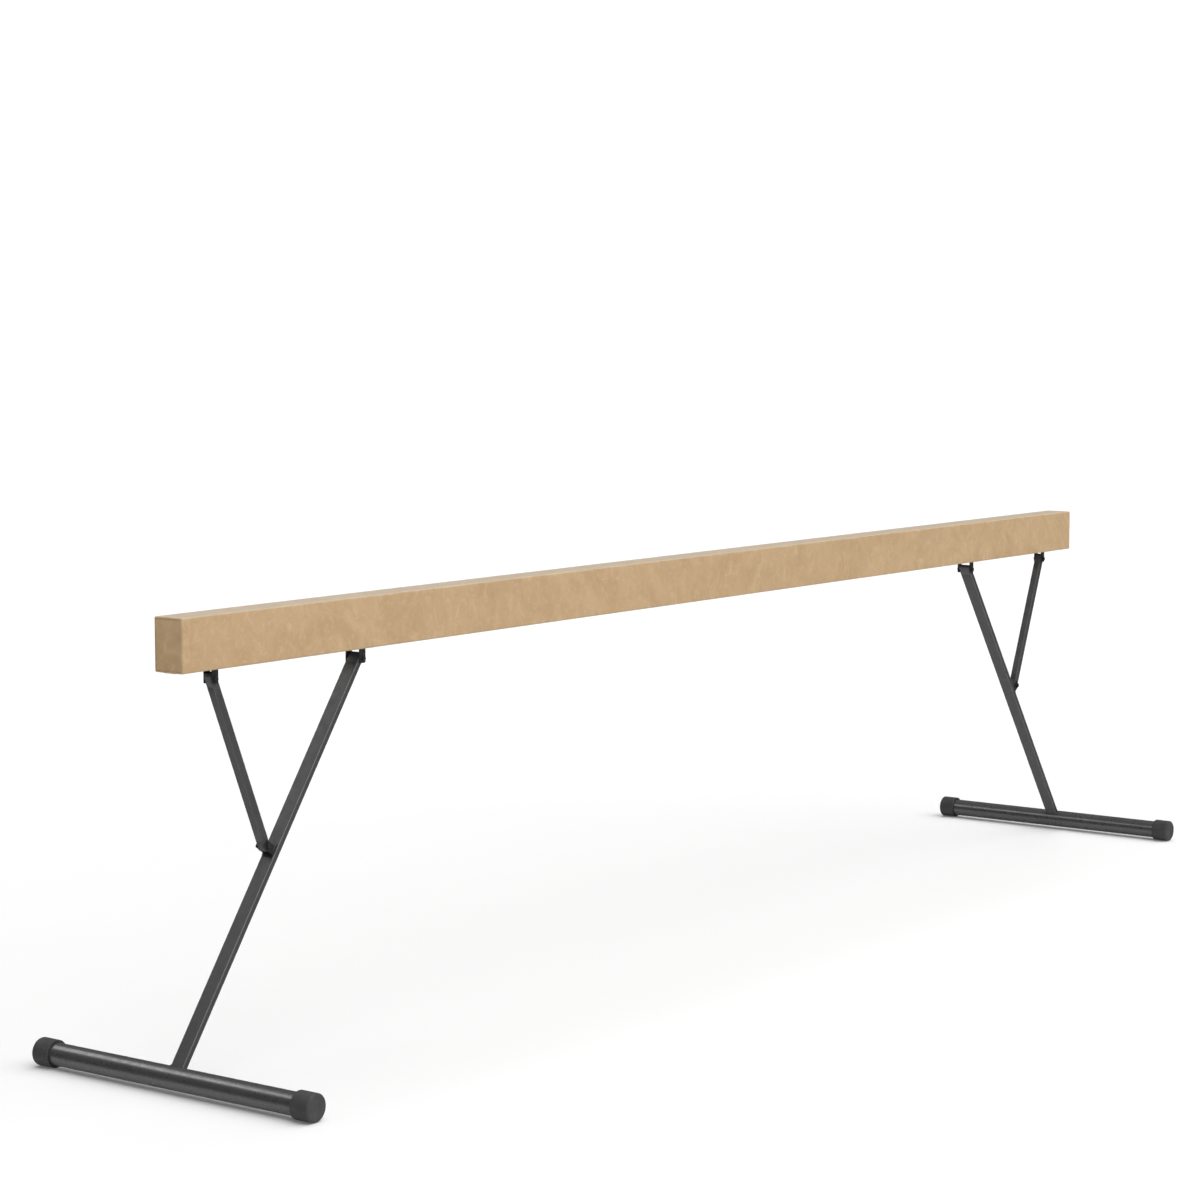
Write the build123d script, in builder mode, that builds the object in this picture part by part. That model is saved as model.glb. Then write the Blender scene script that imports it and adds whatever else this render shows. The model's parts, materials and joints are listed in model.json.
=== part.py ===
from build123d import *
import math
import os

# Balance beam on folding legs, in millimetres.
# +X runs along the beam, +Y across it, +Z up. The origin is on the floor, under the beam's middle.
# The two ends are mirror images about the YZ plane. Each is drawn at +X and mirrored for -X.

# Padded beam
BEAM_LENGTH = 5000.0
BEAM_WIDTH = 100.0
BEAM_DEPTH = 148.0
BEAM_TOP = 1270.0
BEAM_CORNER = 5.0
COVER_THICK = 2.0
TOP_FOAM = 8.0
SIDE_FOAM = 4.0
END_FOAM = 5.0
END_BOARD = 18.0
CENTRE_PLANK = 44.0
STRIP_WIDTH = 40.0
STRIP_THICK = 1.5
STRIP_GAP = 4.0

# Where the legs and braces stand
LEG_PIVOT_X = 1752.0
BRACE_PIVOT_X = 2340.0
FOOT_X = 2500.0
PIVOT_RISE = 30.0
CLEVIS_STATION = 616.0

# Tubes
LEG_WIDTH = 45.0
LEG_DEPTH = 18.0
LEG_CORNER = 3.0
BRACE_SIZE = 25.0
BRACE_CORNER = 2.5
TUBE_WALL = 2.0
HEAD_REACH = 18.0
TOE_REACH = 14.0
FITTING_BODY = 20.0
FITTING_TONGUE = 25.0
LEG_END_ROUND = 8.5
BRACE_END_ROUND = 8.0
FLOOR_TUBE_R = 31.75
FLOOR_TUBE_WALL = 3.0
FOOT_LENGTH = 1006.0
CAP_R = 39.0
CAP_LENGTH = 60.0
CAP_END_WALL = 5.0
CAP_EDGE = 6.0
CAP_RIM = 2.0

# Clevis brackets
EAR_WIDTH = 24.0
EAR_REACH = 13.0
EAR_CORNER = 4.0
EAR_PLATE = 4.0
BRACE_EAR_PLATE = 3.0
WEB_PLATE = 4.0
WEB_CORNER = 4.0
WEB_MARGIN = 3.0
SIDE_PLAY = 0.5
LEG_WEB_LENGTH = 110.0
BRACE_WEB_LENGTH = 88.0
CLEVIS_WEB_LENGTH = 36.0
ROOT_FILLET = 2.0
MATCH = 0.01  # how near an edge's place and length must be for it to be picked

# Fasteners
BOLT_R = 4.0
BOLT_HOLE_R = 4.25
BOLT_RUN_CLEARANCE = 0.05
BOLT_END_BEVEL = 0.8
BUSH_R = 6.0
HEX_FLATS = 13.0
HEX_BEVEL = 1.0
HEAD_HEIGHT = 5.3
NUT_HEIGHT = 4.0
BOLT_TAIL = 1.0
WASHER_R = 7.5
WASHER_THICK = 1.0
SLOT_CLEARANCE = 0.3
SLOT_FLARE = 1.2
SCREW_R = 4.0
SCREW_HEAD_R = 8.0
SCREW_LENGTH = 60.0
SCREW_POINT = 3.0
SOCKET_FLATS = 5.0
SOCKET_DEPTH = 3.0
LEG_SCREW_X = 38.0
LEG_SCREW_Y = 14.0
BRACE_SCREW_X = 32.0

# Heights and lengths that follow
UNDERSIDE = BEAM_TOP - BEAM_DEPTH
PIVOT_Z = UNDERSIDE - PIVOT_RISE
WEB_SEAT = UNDERSIDE + WEB_PLATE
SLEEVE_LENGTH = BEAM_LENGTH - 2 * COVER_THICK
CORE_LENGTH = BEAM_LENGTH - 2 * (COVER_THICK + END_FOAM + END_BOARD)
CORE_WIDTH = BEAM_WIDTH - 2 * (COVER_THICK + SIDE_FOAM)
CORE_BASE = UNDERSIDE + COVER_THICK
CORE_TOP = BEAM_TOP - COVER_THICK - TOP_FOAM
CORE_DEPTH = CORE_TOP - CORE_BASE
INNER_CORNER = BEAM_CORNER - COVER_THICK

# Side view of one end: directions down the leg, square to its outer face, and down the brace
LEG_RUN = math.hypot(FOOT_X - LEG_PIVOT_X, PIVOT_Z - CAP_R)
DOWN_LEG = Vector((FOOT_X - LEG_PIVOT_X) / LEG_RUN, 0, (CAP_R - PIVOT_Z) / LEG_RUN)
OFF_LEG = Vector(-DOWN_LEG.Z, 0, DOWN_LEG.X)
LEG_PIVOT = Vector(LEG_PIVOT_X, 0, PIVOT_Z)
BRACE_PIVOT = Vector(BRACE_PIVOT_X, 0, PIVOT_Z)
CLEVIS_SEAT = LEG_PIVOT + DOWN_LEG * CLEVIS_STATION + OFF_LEG * (LEG_DEPTH / 2)
CLEVIS_PIVOT = CLEVIS_SEAT + OFF_LEG * PIVOT_RISE
DOWN_BRACE = (CLEVIS_PIVOT - BRACE_PIVOT).normalized()
BRACE_RUN = (CLEVIS_PIVOT - BRACE_PIVOT).length
ACROSS = Vector(0, -1, 0)

LEG_GAP = LEG_WIDTH + 2 * SIDE_PLAY
BRACE_GAP = BRACE_SIZE + 2 * SIDE_PLAY


def side_plane(origin, along):
    """Plane of the side view at a point: x along a member, z across the beam."""
    return Plane(origin=origin, x_dir=along, z_dir=ACROSS)


def section_plane(origin, along):
    """Plane square to a member: x across the beam, z along the member."""
    return Plane(origin=origin, x_dir=ACROSS, z_dir=along)


def beam_block(width, depth, length, centre_y, base_z, centre_x=0.0):
    """Plain board lying along the beam."""
    with BuildPart() as board:
        with BuildSketch(Plane.YZ.offset(centre_x)):
            with Locations((centre_y, base_z + depth / 2)):
                Rectangle(width, depth)
        extrude(amount=length / 2, both=True)
    return board


def screw_spots():
    """Screw positions of both brackets at the +X end, in the XY plane."""
    leg_spots = [
        (LEG_PIVOT_X + dx, dy)
        for dx in (-LEG_SCREW_X, LEG_SCREW_X)
        for dy in (-LEG_SCREW_Y, LEG_SCREW_Y)
    ]
    brace_spots = [(BRACE_PIVOT_X + dx, 0.0) for dx in (-BRACE_SCREW_X, BRACE_SCREW_X)]
    return leg_spots + brace_spots


def countersunk_screws():
    """Bracket screws without their sockets, with their heads flush with the underside."""
    tip = UNDERSIDE + SCREW_LENGTH
    with BuildPart() as one:
        with BuildSketch(Plane.XZ):
            with BuildLine():
                Polyline(
                    (0, UNDERSIDE),
                    (SCREW_HEAD_R, UNDERSIDE),
                    (SCREW_R, WEB_SEAT),
                    (SCREW_R, tip - SCREW_POINT),
                    (SCREW_R - SCREW_POINT, tip),
                    (0, tip),
                    close=True,
                )
            make_face()
        revolve(axis=Axis.Z)
    with BuildPart() as screws:
        with Locations(*screw_spots()):
            add(one.part)
    return screws


def bracket_screws():
    """Countersunk screws that hold the brackets up in the beam, with hexagon sockets."""
    with BuildPart() as screws:
        add(countersunk_screws().part)
        with BuildSketch(Plane.XY.offset(UNDERSIDE)):
            with Locations(*screw_spots()):
                RegularPolygon(radius=SOCKET_FLATS / 2, side_count=6, major_radius=False)
        extrude(amount=SOCKET_DEPTH, mode=Mode.SUBTRACT)
    return screws


def web_width(gap, ear_plate):
    """Width of a bracket's web plate."""
    return gap + 2 * ear_plate + 2 * WEB_MARGIN


def web_pockets():
    """Pockets for the web plates of both brackets at the +X end."""
    with BuildPart() as pockets:
        with BuildSketch(Plane.XY.offset(UNDERSIDE)):
            with Locations((LEG_PIVOT_X, 0)):
                RectangleRounded(LEG_WEB_LENGTH, web_width(LEG_GAP, EAR_PLATE), WEB_CORNER)
            with Locations((BRACE_PIVOT_X, 0)):
                RectangleRounded(BRACE_WEB_LENGTH, web_width(BRACE_GAP, BRACE_EAR_PLATE), WEB_CORNER)
        extrude(amount=WEB_PLATE)
    return pockets


def hexagon_block(plane, flats, height):
    """Hexagonal block with the usual bevel round its outer face, standing on a plane."""
    corner_r = flats / math.sqrt(3)
    with BuildPart() as block:
        with BuildSketch(plane):
            Circle(corner_r)
        extrude(amount=height)
        outer_face = block.faces().filter_by(GeomType.PLANE).sort_by_distance(plane.origin)[-1]
        chamfer(outer_face.edges(), HEX_BEVEL)
        with BuildSketch(plane):
            RegularPolygon(radius=flats / 2, side_count=6, major_radius=False)
        extrude(amount=height, mode=Mode.INTERSECT)
    return block


def u_bracket(base, rise, web_length, gap, ear_plate):
    """Clevis: a web plate on the base plane and two ears, bored at rise above it."""
    ear_height = rise + EAR_REACH
    outer = gap / 2 + ear_plate
    side = Plane(origin=base.origin, x_dir=base.x_dir, z_dir=base.x_dir.cross(base.z_dir))
    with BuildPart() as bracket:
        with BuildSketch(base):
            RectangleRounded(web_length, web_width(gap, ear_plate), WEB_CORNER)
        extrude(amount=WEB_PLATE)
        with BuildSketch(side) as ear:
            with Locations((0, ear_height / 2)):
                Rectangle(EAR_WIDTH, ear_height)
            fillet(ear.vertices().group_by(Axis.Y)[-1], EAR_CORNER)
        extrude(amount=outer, both=True)
        with BuildSketch(Plane(origin=base.origin, x_dir=base.y_dir, z_dir=base.x_dir)):
            with Locations((0, WEB_PLATE + ear_height / 2)):
                Rectangle(gap, ear_height)
        extrude(amount=EAR_WIDTH, both=True, mode=Mode.SUBTRACT)
        roots = bracket.edges().filter_by(
            lambda edge: abs((edge.center() - base.origin).dot(base.z_dir) - WEB_PLATE) < MATCH
            and abs(edge.length - EAR_WIDTH) < MATCH
            and abs(edge.tangent_at(0.5).dot(base.x_dir)) > 1 - MATCH
        )
        fillet(roots, ROOT_FILLET)
        with BuildSketch(side):
            with Locations((0, rise)):
                Circle(BOLT_HOLE_R)
        extrude(amount=outer, both=True, mode=Mode.SUBTRACT)
    return bracket


def beam_bracket(pivot_x, web_length, gap, ear_plate):
    """Clevis let in flush with the underside of the beam."""
    base = Plane(origin=(pivot_x, 0, WEB_SEAT), x_dir=(1, 0, 0), z_dir=(0, 0, -1))
    plain = u_bracket(base, PIVOT_RISE + WEB_PLATE, web_length, gap, ear_plate)
    with BuildPart() as bracket:
        add(plain.part)
        add(countersunk_screws().part, mode=Mode.SUBTRACT)
    return bracket


def pivot_bolt(pivot, gap, ear_plate):
    """Hexagon bolt through a clevis, with its head towards -Y."""
    outer = gap / 2 + ear_plate + WASHER_THICK
    tail = outer + NUT_HEIGHT + BOLT_TAIL
    axis_plane = Plane(origin=pivot, x_dir=(1, 0, 0), z_dir=ACROSS)
    head = hexagon_block(axis_plane.offset(outer), HEX_FLATS, HEAD_HEIGHT)
    with BuildPart() as bolt:
        with BuildSketch(axis_plane.offset(-tail)):
            Circle(BOLT_R)
        extrude(amount=tail + outer)
        chamfer(bolt.faces().sort_by(Axis.Y)[-1].edges(), BOLT_END_BEVEL)
        add(head.part)
    return bolt


def pivot_nuts(stacks):
    """Nuts on the +Y ends of one or more pivot bolts."""
    with BuildPart() as nuts:
        for pivot, gap, ear_plate in stacks:
            seat = Plane(origin=pivot, x_dir=(1, 0, 0), z_dir=(0, 1, 0))
            seat = seat.offset(gap / 2 + ear_plate + WASHER_THICK)
            add(hexagon_block(seat, HEX_FLATS, NUT_HEIGHT).part)
            with BuildSketch(seat):
                Circle(BOLT_R)
            extrude(amount=NUT_HEIGHT, mode=Mode.SUBTRACT)
    return nuts


def pivot_washers(stacks):
    """Washers under the heads and nuts of one or more pivot bolts."""
    with BuildPart() as washers:
        for pivot, gap, ear_plate in stacks:
            for toward in (-1, 1):
                seat = Plane(origin=pivot, x_dir=(1, 0, 0), z_dir=(0, toward, 0))
                with BuildSketch(seat.offset(gap / 2 + ear_plate)):
                    Circle(WASHER_R)
                    Circle(BOLT_HOLE_R, mode=Mode.SUBTRACT)
                extrude(amount=WASHER_THICK)
    return washers


def end_fitting(pivot, along, reach, width, depth, corner, end_round):
    """Solid end of a tube: a nose that reaches past the pivot and a tongue inside the tube."""
    side = side_plane(pivot, along)
    with BuildPart() as fitting:
        with BuildSketch(section_plane(pivot - along * reach, along)):
            RectangleRounded(width, depth, corner)
        extrude(amount=reach + FITTING_BODY)
        with BuildSketch(side) as nose:
            with Locations(((FITTING_BODY - reach) / 2, 0)):
                Rectangle(FITTING_BODY + reach, depth)
            fillet(nose.vertices().group_by(Axis.X)[0], end_round)
        extrude(amount=width / 2, both=True, mode=Mode.INTERSECT)
        with BuildSketch(section_plane(pivot + along * FITTING_BODY, along)):
            RectangleRounded(width - 2 * TUBE_WALL, depth - 2 * TUBE_WALL, corner - TUBE_WALL)
        extrude(amount=FITTING_TONGUE)
    return fitting


def bored_fitting(pivot, along, width, depth, corner, end_round):
    """Tube end with a bore for its bush."""
    blank = end_fitting(pivot, along, HEAD_REACH, width, depth, corner, end_round)
    with BuildPart() as fitting:
        add(blank.part)
        with BuildSketch(side_plane(pivot, along)):
            Circle(BUSH_R)
        extrude(amount=width / 2, both=True, mode=Mode.SUBTRACT)
    return fitting


def slotted_fitting(pivot, along, width, depth, corner, end_round):
    """Tube end with an open slot that drops over the clevis bolt."""
    blank = end_fitting(pivot, along, TOE_REACH, width, depth, corner, end_round)
    slot_r = BOLT_R + SLOT_CLEARANCE
    mouth = slot_r + SLOT_FLARE
    with BuildPart() as fitting:
        add(blank.part)
        with BuildSketch(side_plane(pivot, along)):
            Circle(slot_r)
            with BuildLine():
                Polyline(
                    (0, slot_r),
                    (0, -slot_r),
                    (-TOE_REACH, -mouth),
                    (-TOE_REACH, mouth),
                    close=True,
                )
            make_face()
        extrude(amount=width / 2, both=True, mode=Mode.SUBTRACT)
    return fitting


def pivot_bush(pivot, width):
    """Bush that turns on a pivot bolt."""
    with BuildPart() as bush:
        with BuildSketch(Plane(origin=pivot, x_dir=(1, 0, 0), z_dir=ACROSS)):
            Circle(BUSH_R)
            Circle(BOLT_R + BOLT_RUN_CLEARANCE, mode=Mode.SUBTRACT)
        extrude(amount=width / 2, both=True)
    return bush


def floor_rod(radius, length):
    """Round bar on the axis of the floor tube."""
    with BuildPart() as rod:
        with BuildSketch(Plane(origin=(FOOT_X, 0, CAP_R), x_dir=(1, 0, 0), z_dir=ACROSS)):
            Circle(radius)
        extrude(amount=length / 2, both=True)
    return rod


def leg_tube():
    """Flat rectangular tube from below the leg's end fitting to the floor tube."""
    with BuildPart() as tube:
        with BuildSketch(section_plane(LEG_PIVOT + DOWN_LEG * FITTING_BODY, DOWN_LEG)):
            RectangleRounded(LEG_WIDTH, LEG_DEPTH, LEG_CORNER)
            RectangleRounded(
                LEG_WIDTH - 2 * TUBE_WALL,
                LEG_DEPTH - 2 * TUBE_WALL,
                LEG_CORNER - TUBE_WALL,
                mode=Mode.SUBTRACT,
            )
        extrude(amount=LEG_RUN - FITTING_BODY)
        add(floor_rod(FLOOR_TUBE_R, FOOT_LENGTH).part, mode=Mode.SUBTRACT)
    return tube


def brace_tube():
    """Square tube between the brace's two end fittings."""
    with BuildPart() as tube:
        with BuildSketch(section_plane(BRACE_PIVOT + DOWN_BRACE * FITTING_BODY, DOWN_BRACE)):
            RectangleRounded(BRACE_SIZE, BRACE_SIZE, BRACE_CORNER)
            RectangleRounded(
                BRACE_SIZE - 2 * TUBE_WALL,
                BRACE_SIZE - 2 * TUBE_WALL,
                BRACE_CORNER - TUBE_WALL,
                mode=Mode.SUBTRACT,
            )
        extrude(amount=BRACE_RUN - 2 * FITTING_BODY)
    return tube


def floor_tube():
    """Round tube that lies across the beam, inside its two rubber caps."""
    length = FOOT_LENGTH - 2 * CAP_END_WALL
    with BuildPart() as tube:
        add(floor_rod(FLOOR_TUBE_R, length).part)
        add(floor_rod(FLOOR_TUBE_R - FLOOR_TUBE_WALL, length).part, mode=Mode.SUBTRACT)
    return tube


def floor_cap(toward):
    """Rubber cap on one end of the floor tube; toward is -1 for -Y and 1 for +Y."""
    end = Plane(
        origin=(FOOT_X, toward * FOOT_LENGTH / 2, CAP_R),
        x_dir=(1, 0, 0),
        z_dir=(0, -toward, 0),
    )
    with BuildPart() as cap:
        with BuildSketch(end):
            Circle(CAP_R)
        extrude(amount=CAP_LENGTH)
        rounded = cap.faces().filter_by(Axis.Y).sort_by_distance(end.origin)
        fillet(rounded[0].edges(), CAP_EDGE)
        fillet(rounded[-1].edges(), CAP_RIM)
        with BuildSketch(end.offset(CAP_END_WALL)):
            Circle(FLOOR_TUBE_R)
        extrude(amount=CAP_LENGTH, mode=Mode.SUBTRACT)
    return cap


def cover_sleeve(cutters):
    """Suede sleeve round the top, sides and underside of the beam, cut out round the brackets."""
    with BuildPart() as sleeve:
        with BuildSketch(Plane.YZ) as outline:
            with Locations((0, BEAM_TOP - BEAM_DEPTH / 2)):
                RectangleRounded(BEAM_WIDTH, BEAM_DEPTH, BEAM_CORNER)
            with Locations((0, BEAM_TOP - BEAM_DEPTH / 2)):
                RectangleRounded(
                    BEAM_WIDTH - 2 * COVER_THICK,
                    BEAM_DEPTH - 2 * COVER_THICK,
                    INNER_CORNER,
                    mode=Mode.SUBTRACT,
                )
        extrude(amount=SLEEVE_LENGTH / 2, both=True)
        for cutter in cutters:
            add(cutter, mode=Mode.SUBTRACT)
    return sleeve


def end_cover():
    """Suede panel that closes one end of the sleeve."""
    with BuildPart() as panel:
        with BuildSketch(Plane.YZ.offset(SLEEVE_LENGTH / 2)):
            with Locations((0, BEAM_TOP - BEAM_DEPTH / 2)):
                RectangleRounded(BEAM_WIDTH, BEAM_DEPTH, BEAM_CORNER)
        extrude(amount=COVER_THICK)
    return panel


def end_foam():
    """Foam between the end board and the end panel."""
    with BuildPart() as foam:
        with BuildSketch(Plane.YZ.offset(SLEEVE_LENGTH / 2)):
            with Locations((0, BEAM_TOP - BEAM_DEPTH / 2)):
                RectangleRounded(
                    BEAM_WIDTH - 2 * COVER_THICK,
                    BEAM_DEPTH - 2 * COVER_THICK,
                    INNER_CORNER,
                )
        extrude(amount=-END_FOAM)
    return foam


def top_foam(length):
    """Foam over the core, rounded under the upper edges of the sleeve."""
    width = BEAM_WIDTH - 2 * COVER_THICK
    with BuildPart() as foam:
        with BuildSketch(Plane.YZ) as outline:
            with Locations((0, CORE_TOP + TOP_FOAM / 2)):
                Rectangle(width, TOP_FOAM)
            fillet(outline.vertices().group_by(Axis.Y)[-1], INNER_CORNER)
        extrude(amount=length / 2, both=True)
    return foam


def side_foam(toward, length):
    """Foam on one side of the core, rounded under the lower edge of the sleeve."""
    centre = toward * (CORE_WIDTH + SIDE_FOAM) / 2
    with BuildPart() as foam:
        with BuildSketch(Plane.YZ) as outline:
            with Locations((centre, CORE_BASE + CORE_DEPTH / 2)):
                Rectangle(SIDE_FOAM, CORE_DEPTH)
            low = outline.vertices().group_by(Axis.Y)[0].sort_by(Axis.X)
            fillet(low[-1] if toward > 0 else low[0], INNER_CORNER)
        extrude(amount=length / 2, both=True)
    return foam


def core_plank(width, centre_y, cutters):
    """One board of the laminated core, with the pockets and screw holes that fall in it."""
    blank = beam_block(width, CORE_DEPTH, CORE_LENGTH, centre_y, CORE_BASE)
    with BuildPart() as plank:
        add(blank.part)
        for cutter in cutters:
            add(cutter, mode=Mode.SUBTRACT)
    return plank


def underside_strip():
    """Closing strip over the sleeve's seam, in the runs that the brackets leave free."""
    leg_web = LEG_WEB_LENGTH / 2 + STRIP_GAP
    brace_web = BRACE_WEB_LENGTH / 2 + STRIP_GAP
    middle = (-(LEG_PIVOT_X - leg_web), LEG_PIVOT_X - leg_web)
    outer = (LEG_PIVOT_X + leg_web, BRACE_PIVOT_X - brace_web)
    tip = (BRACE_PIVOT_X + brace_web, BEAM_LENGTH / 2 - BEAM_CORNER)
    runs = [middle, outer, tip, (-outer[1], -outer[0]), (-tip[1], -tip[0])]
    with BuildPart() as strip:
        for low, high in runs:
            with BuildSketch(Plane.XY.offset(UNDERSIDE)):
                with Locations(((low + high) / 2, 0)):
                    Rectangle(high - low, STRIP_WIDTH)
            extrude(amount=-STRIP_THICK)
    return strip


def save(solid, name):
    """Label one finished piece and write it."""
    solid.label = name
    export_step(solid, f"parts/{name}.step")


def save_pair(piece, name):
    """Write a piece of the +X end and its mirror image at the -X end."""
    save(piece.part, f"right_{name}")
    save(mirror(piece.part, about=Plane.YZ), f"left_{name}")


os.makedirs("parts", exist_ok=True)

# The beam
right_screws = countersunk_screws().part
right_pockets = web_pockets().part
pockets = [right_pockets, mirror(right_pockets, about=Plane.YZ)]
pockets_and_holes = pockets + [right_screws, mirror(right_screws, about=Plane.YZ)]
pad_length = BEAM_LENGTH - 2 * (COVER_THICK + END_FOAM)
side_plank = (CORE_WIDTH - CENTRE_PLANK) / 2
side_plank_y = (CENTRE_PLANK + side_plank) / 2
save(core_plank(CENTRE_PLANK, 0.0, pockets_and_holes).part, "core_centre_plank")
save(core_plank(side_plank, -side_plank_y, pockets).part, "core_front_plank")
save(core_plank(side_plank, side_plank_y, pockets).part, "core_back_plank")
save(top_foam(pad_length).part, "top_foam")
save(side_foam(-1, pad_length).part, "front_foam")
save(side_foam(1, pad_length).part, "back_foam")
save(cover_sleeve(pockets).part, "cover_sleeve")
save(underside_strip().part, "underside_strip")
end_board_x = (CORE_LENGTH + END_BOARD) / 2
save_pair(beam_block(CORE_WIDTH, CORE_DEPTH, END_BOARD, 0.0, CORE_BASE, end_board_x), "end_board")
save_pair(end_foam(), "end_foam")
save_pair(end_cover(), "end_cover")

# Brackets and pivot hardware that stay with the beam
leg_stack = (LEG_PIVOT, LEG_GAP, EAR_PLATE)
brace_stack = (BRACE_PIVOT, BRACE_GAP, BRACE_EAR_PLATE)
save_pair(beam_bracket(LEG_PIVOT_X, LEG_WEB_LENGTH, LEG_GAP, EAR_PLATE), "leg_bracket")
save_pair(beam_bracket(BRACE_PIVOT_X, BRACE_WEB_LENGTH, BRACE_GAP, BRACE_EAR_PLATE), "brace_bracket")
save_pair(bracket_screws(), "bracket_screws")
save_pair(pivot_bolt(*leg_stack), "leg_pivot_bolt")
save_pair(pivot_bolt(*brace_stack), "brace_pivot_bolt")
save_pair(pivot_nuts([leg_stack, brace_stack]), "pivot_nuts")
save_pair(pivot_washers([leg_stack, brace_stack]), "pivot_washers")

# Leg
clevis_stack = (CLEVIS_PIVOT, BRACE_GAP, BRACE_EAR_PLATE)
clevis_base = Plane(origin=CLEVIS_SEAT, x_dir=DOWN_LEG, z_dir=OFF_LEG)
leg_profile = (LEG_WIDTH, LEG_DEPTH, LEG_CORNER, LEG_END_ROUND)
save_pair(leg_tube(), "leg_tube")
save_pair(bored_fitting(LEG_PIVOT, DOWN_LEG, *leg_profile), "leg_head")
save_pair(pivot_bush(LEG_PIVOT, LEG_WIDTH), "leg_bush")
clevis = u_bracket(clevis_base, PIVOT_RISE, CLEVIS_WEB_LENGTH, BRACE_GAP, BRACE_EAR_PLATE)
save_pair(clevis, "leg_clevis")
save_pair(pivot_bolt(*clevis_stack), "clevis_bolt")
save_pair(pivot_nuts([clevis_stack]), "clevis_nut")
save_pair(pivot_washers([clevis_stack]), "clevis_washers")
save_pair(floor_tube(), "floor_tube")
save_pair(floor_cap(-1), "front_floor_cap")
save_pair(floor_cap(1), "back_floor_cap")

# Brace
brace_profile = (BRACE_SIZE, BRACE_SIZE, BRACE_CORNER, BRACE_END_ROUND)
save_pair(brace_tube(), "brace_tube")
save_pair(bored_fitting(BRACE_PIVOT, DOWN_BRACE, *brace_profile), "brace_head")
save_pair(pivot_bush(BRACE_PIVOT, BRACE_SIZE), "brace_bush")
save_pair(slotted_fitting(CLEVIS_PIVOT, DOWN_BRACE * -1, *brace_profile), "brace_toe")

print(f"leg length to floor tube axis {LEG_RUN:.1f}")
print(f"brace length between pivots {BRACE_RUN:.1f}")
print(f"clevis pivot at x {CLEVIS_PIVOT.X:.1f}, z {CLEVIS_PIVOT.Z:.1f}")
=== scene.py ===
import json
import math

import bmesh
import bpy
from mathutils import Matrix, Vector, noise


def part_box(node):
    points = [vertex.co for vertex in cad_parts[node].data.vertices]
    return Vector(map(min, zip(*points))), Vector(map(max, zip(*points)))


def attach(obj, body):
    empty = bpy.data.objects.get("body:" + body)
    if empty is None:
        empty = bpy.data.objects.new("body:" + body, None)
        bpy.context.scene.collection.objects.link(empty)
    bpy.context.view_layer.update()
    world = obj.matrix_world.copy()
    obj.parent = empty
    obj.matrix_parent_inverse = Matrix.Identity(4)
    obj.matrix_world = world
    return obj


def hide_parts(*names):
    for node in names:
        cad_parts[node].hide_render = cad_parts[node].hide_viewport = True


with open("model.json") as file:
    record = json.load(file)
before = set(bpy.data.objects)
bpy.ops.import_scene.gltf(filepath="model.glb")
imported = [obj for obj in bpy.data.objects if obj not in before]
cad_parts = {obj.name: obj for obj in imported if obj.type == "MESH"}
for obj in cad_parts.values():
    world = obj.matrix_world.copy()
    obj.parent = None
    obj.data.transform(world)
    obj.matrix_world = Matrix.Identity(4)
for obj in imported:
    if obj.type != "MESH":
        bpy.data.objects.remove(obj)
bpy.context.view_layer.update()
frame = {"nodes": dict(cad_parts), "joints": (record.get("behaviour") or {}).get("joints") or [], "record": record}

# Everything is in metres, in the CAD frame: +X along the beam, +Y across it, +Z up.

# Camera: where it stands, which way it looks and its lens
CAMERA_PLACE = (-8.115, -5.495, 2.0855)
CAMERA_HEADING = math.radians(36.108)
CAMERA_TILT = math.radians(5.657)
CAMERA_SENSOR = 36.0
CAMERA_LENS = 89.72
CAMERA_REACH = 200.0

# Light: the even share from all round, the diffuser, and the white behind the object
AMBIENT = 0.15
SUN_POWER = 3.54
SUN_SPREAD = math.radians(95)
SUN_FROM = (0.25, -0.36, 0.90)
BACKDROP = 1.05

# What gloss sees of the room below, level with and above it, and the slopes (upward part of the
# direction) between which one turns into the next
REFLECT_FLOOR = 0.86
REFLECT_WALL = 0.10
REFLECT_CEILING = 0.32
FLOOR_TO_WALL = (-0.65, -0.08)
WALL_TO_CEILING = (0.25, 0.9)

# Softboxes: name, place, the point each one shines at, size and power
SOFTBOXES = (
    ("front_softbox", (-3.2, -4.6, 4.6), (-1.5, 0.0, 0.5), (9.0, 0.9), 420.0),
    ("back_softbox", (-2.8, 4.6, 4.6), (-2.5, 0.0, 0.3), (2.8, 1.0), 37.0),
    ("leg_softbox", (-4.8, 4.6, 5.7), (-2.1, 0.0, 0.7), (2.8, 1.6), 45.0),
)

# Studio floor: half its side, its own faint light, and the distances over which gloss loses it
FLOOR_HALF = 60.0
FLOOR_GLOW = 0.10
GLOSS_REACH = (0.08, 0.25)

# Meshes: points closer than MERGE are one, the end of a lathed or hexagonal shape closes on a tiny
# TIP circle, and the rest are the steps of a corner, a big round and a hexagon
MERGE = 1e-6
TIP = 0.0001
CORNER_STEPS = 6
ROUND_STEPS = 128
HEX_STEPS = 72

# CAD nodes with eased edges: the ease, what counts as flat and as sharp, and how they are shaded
EDGE_EASE = 0.0005
SMALL_EASE = 0.0003
EASE_SEGMENTS = 2
FLAT_ANGLE = math.radians(0.5)
SHARP_ANGLE = math.radians(35)
EASED_CREASE = 40.0

# Suede sleeve: corner, thickness, turned ends, play under it and round the bracket plates
BEAM_CORNER = 0.005
CORNER_LOSS = 0.003
COVER_THICK = 0.002
END_TURN = 0.0045
TURN_STEPS = (0, 18, 36, 54, 72, 90)
SLEEVE_LIP = 0.0002
SLEEVE_PLAY = 0.0006
CUTOUT_PLAY = 0.0004
CUTOUT_CORNER = 0.004
CUTOUT_REACH = 0.01

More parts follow.
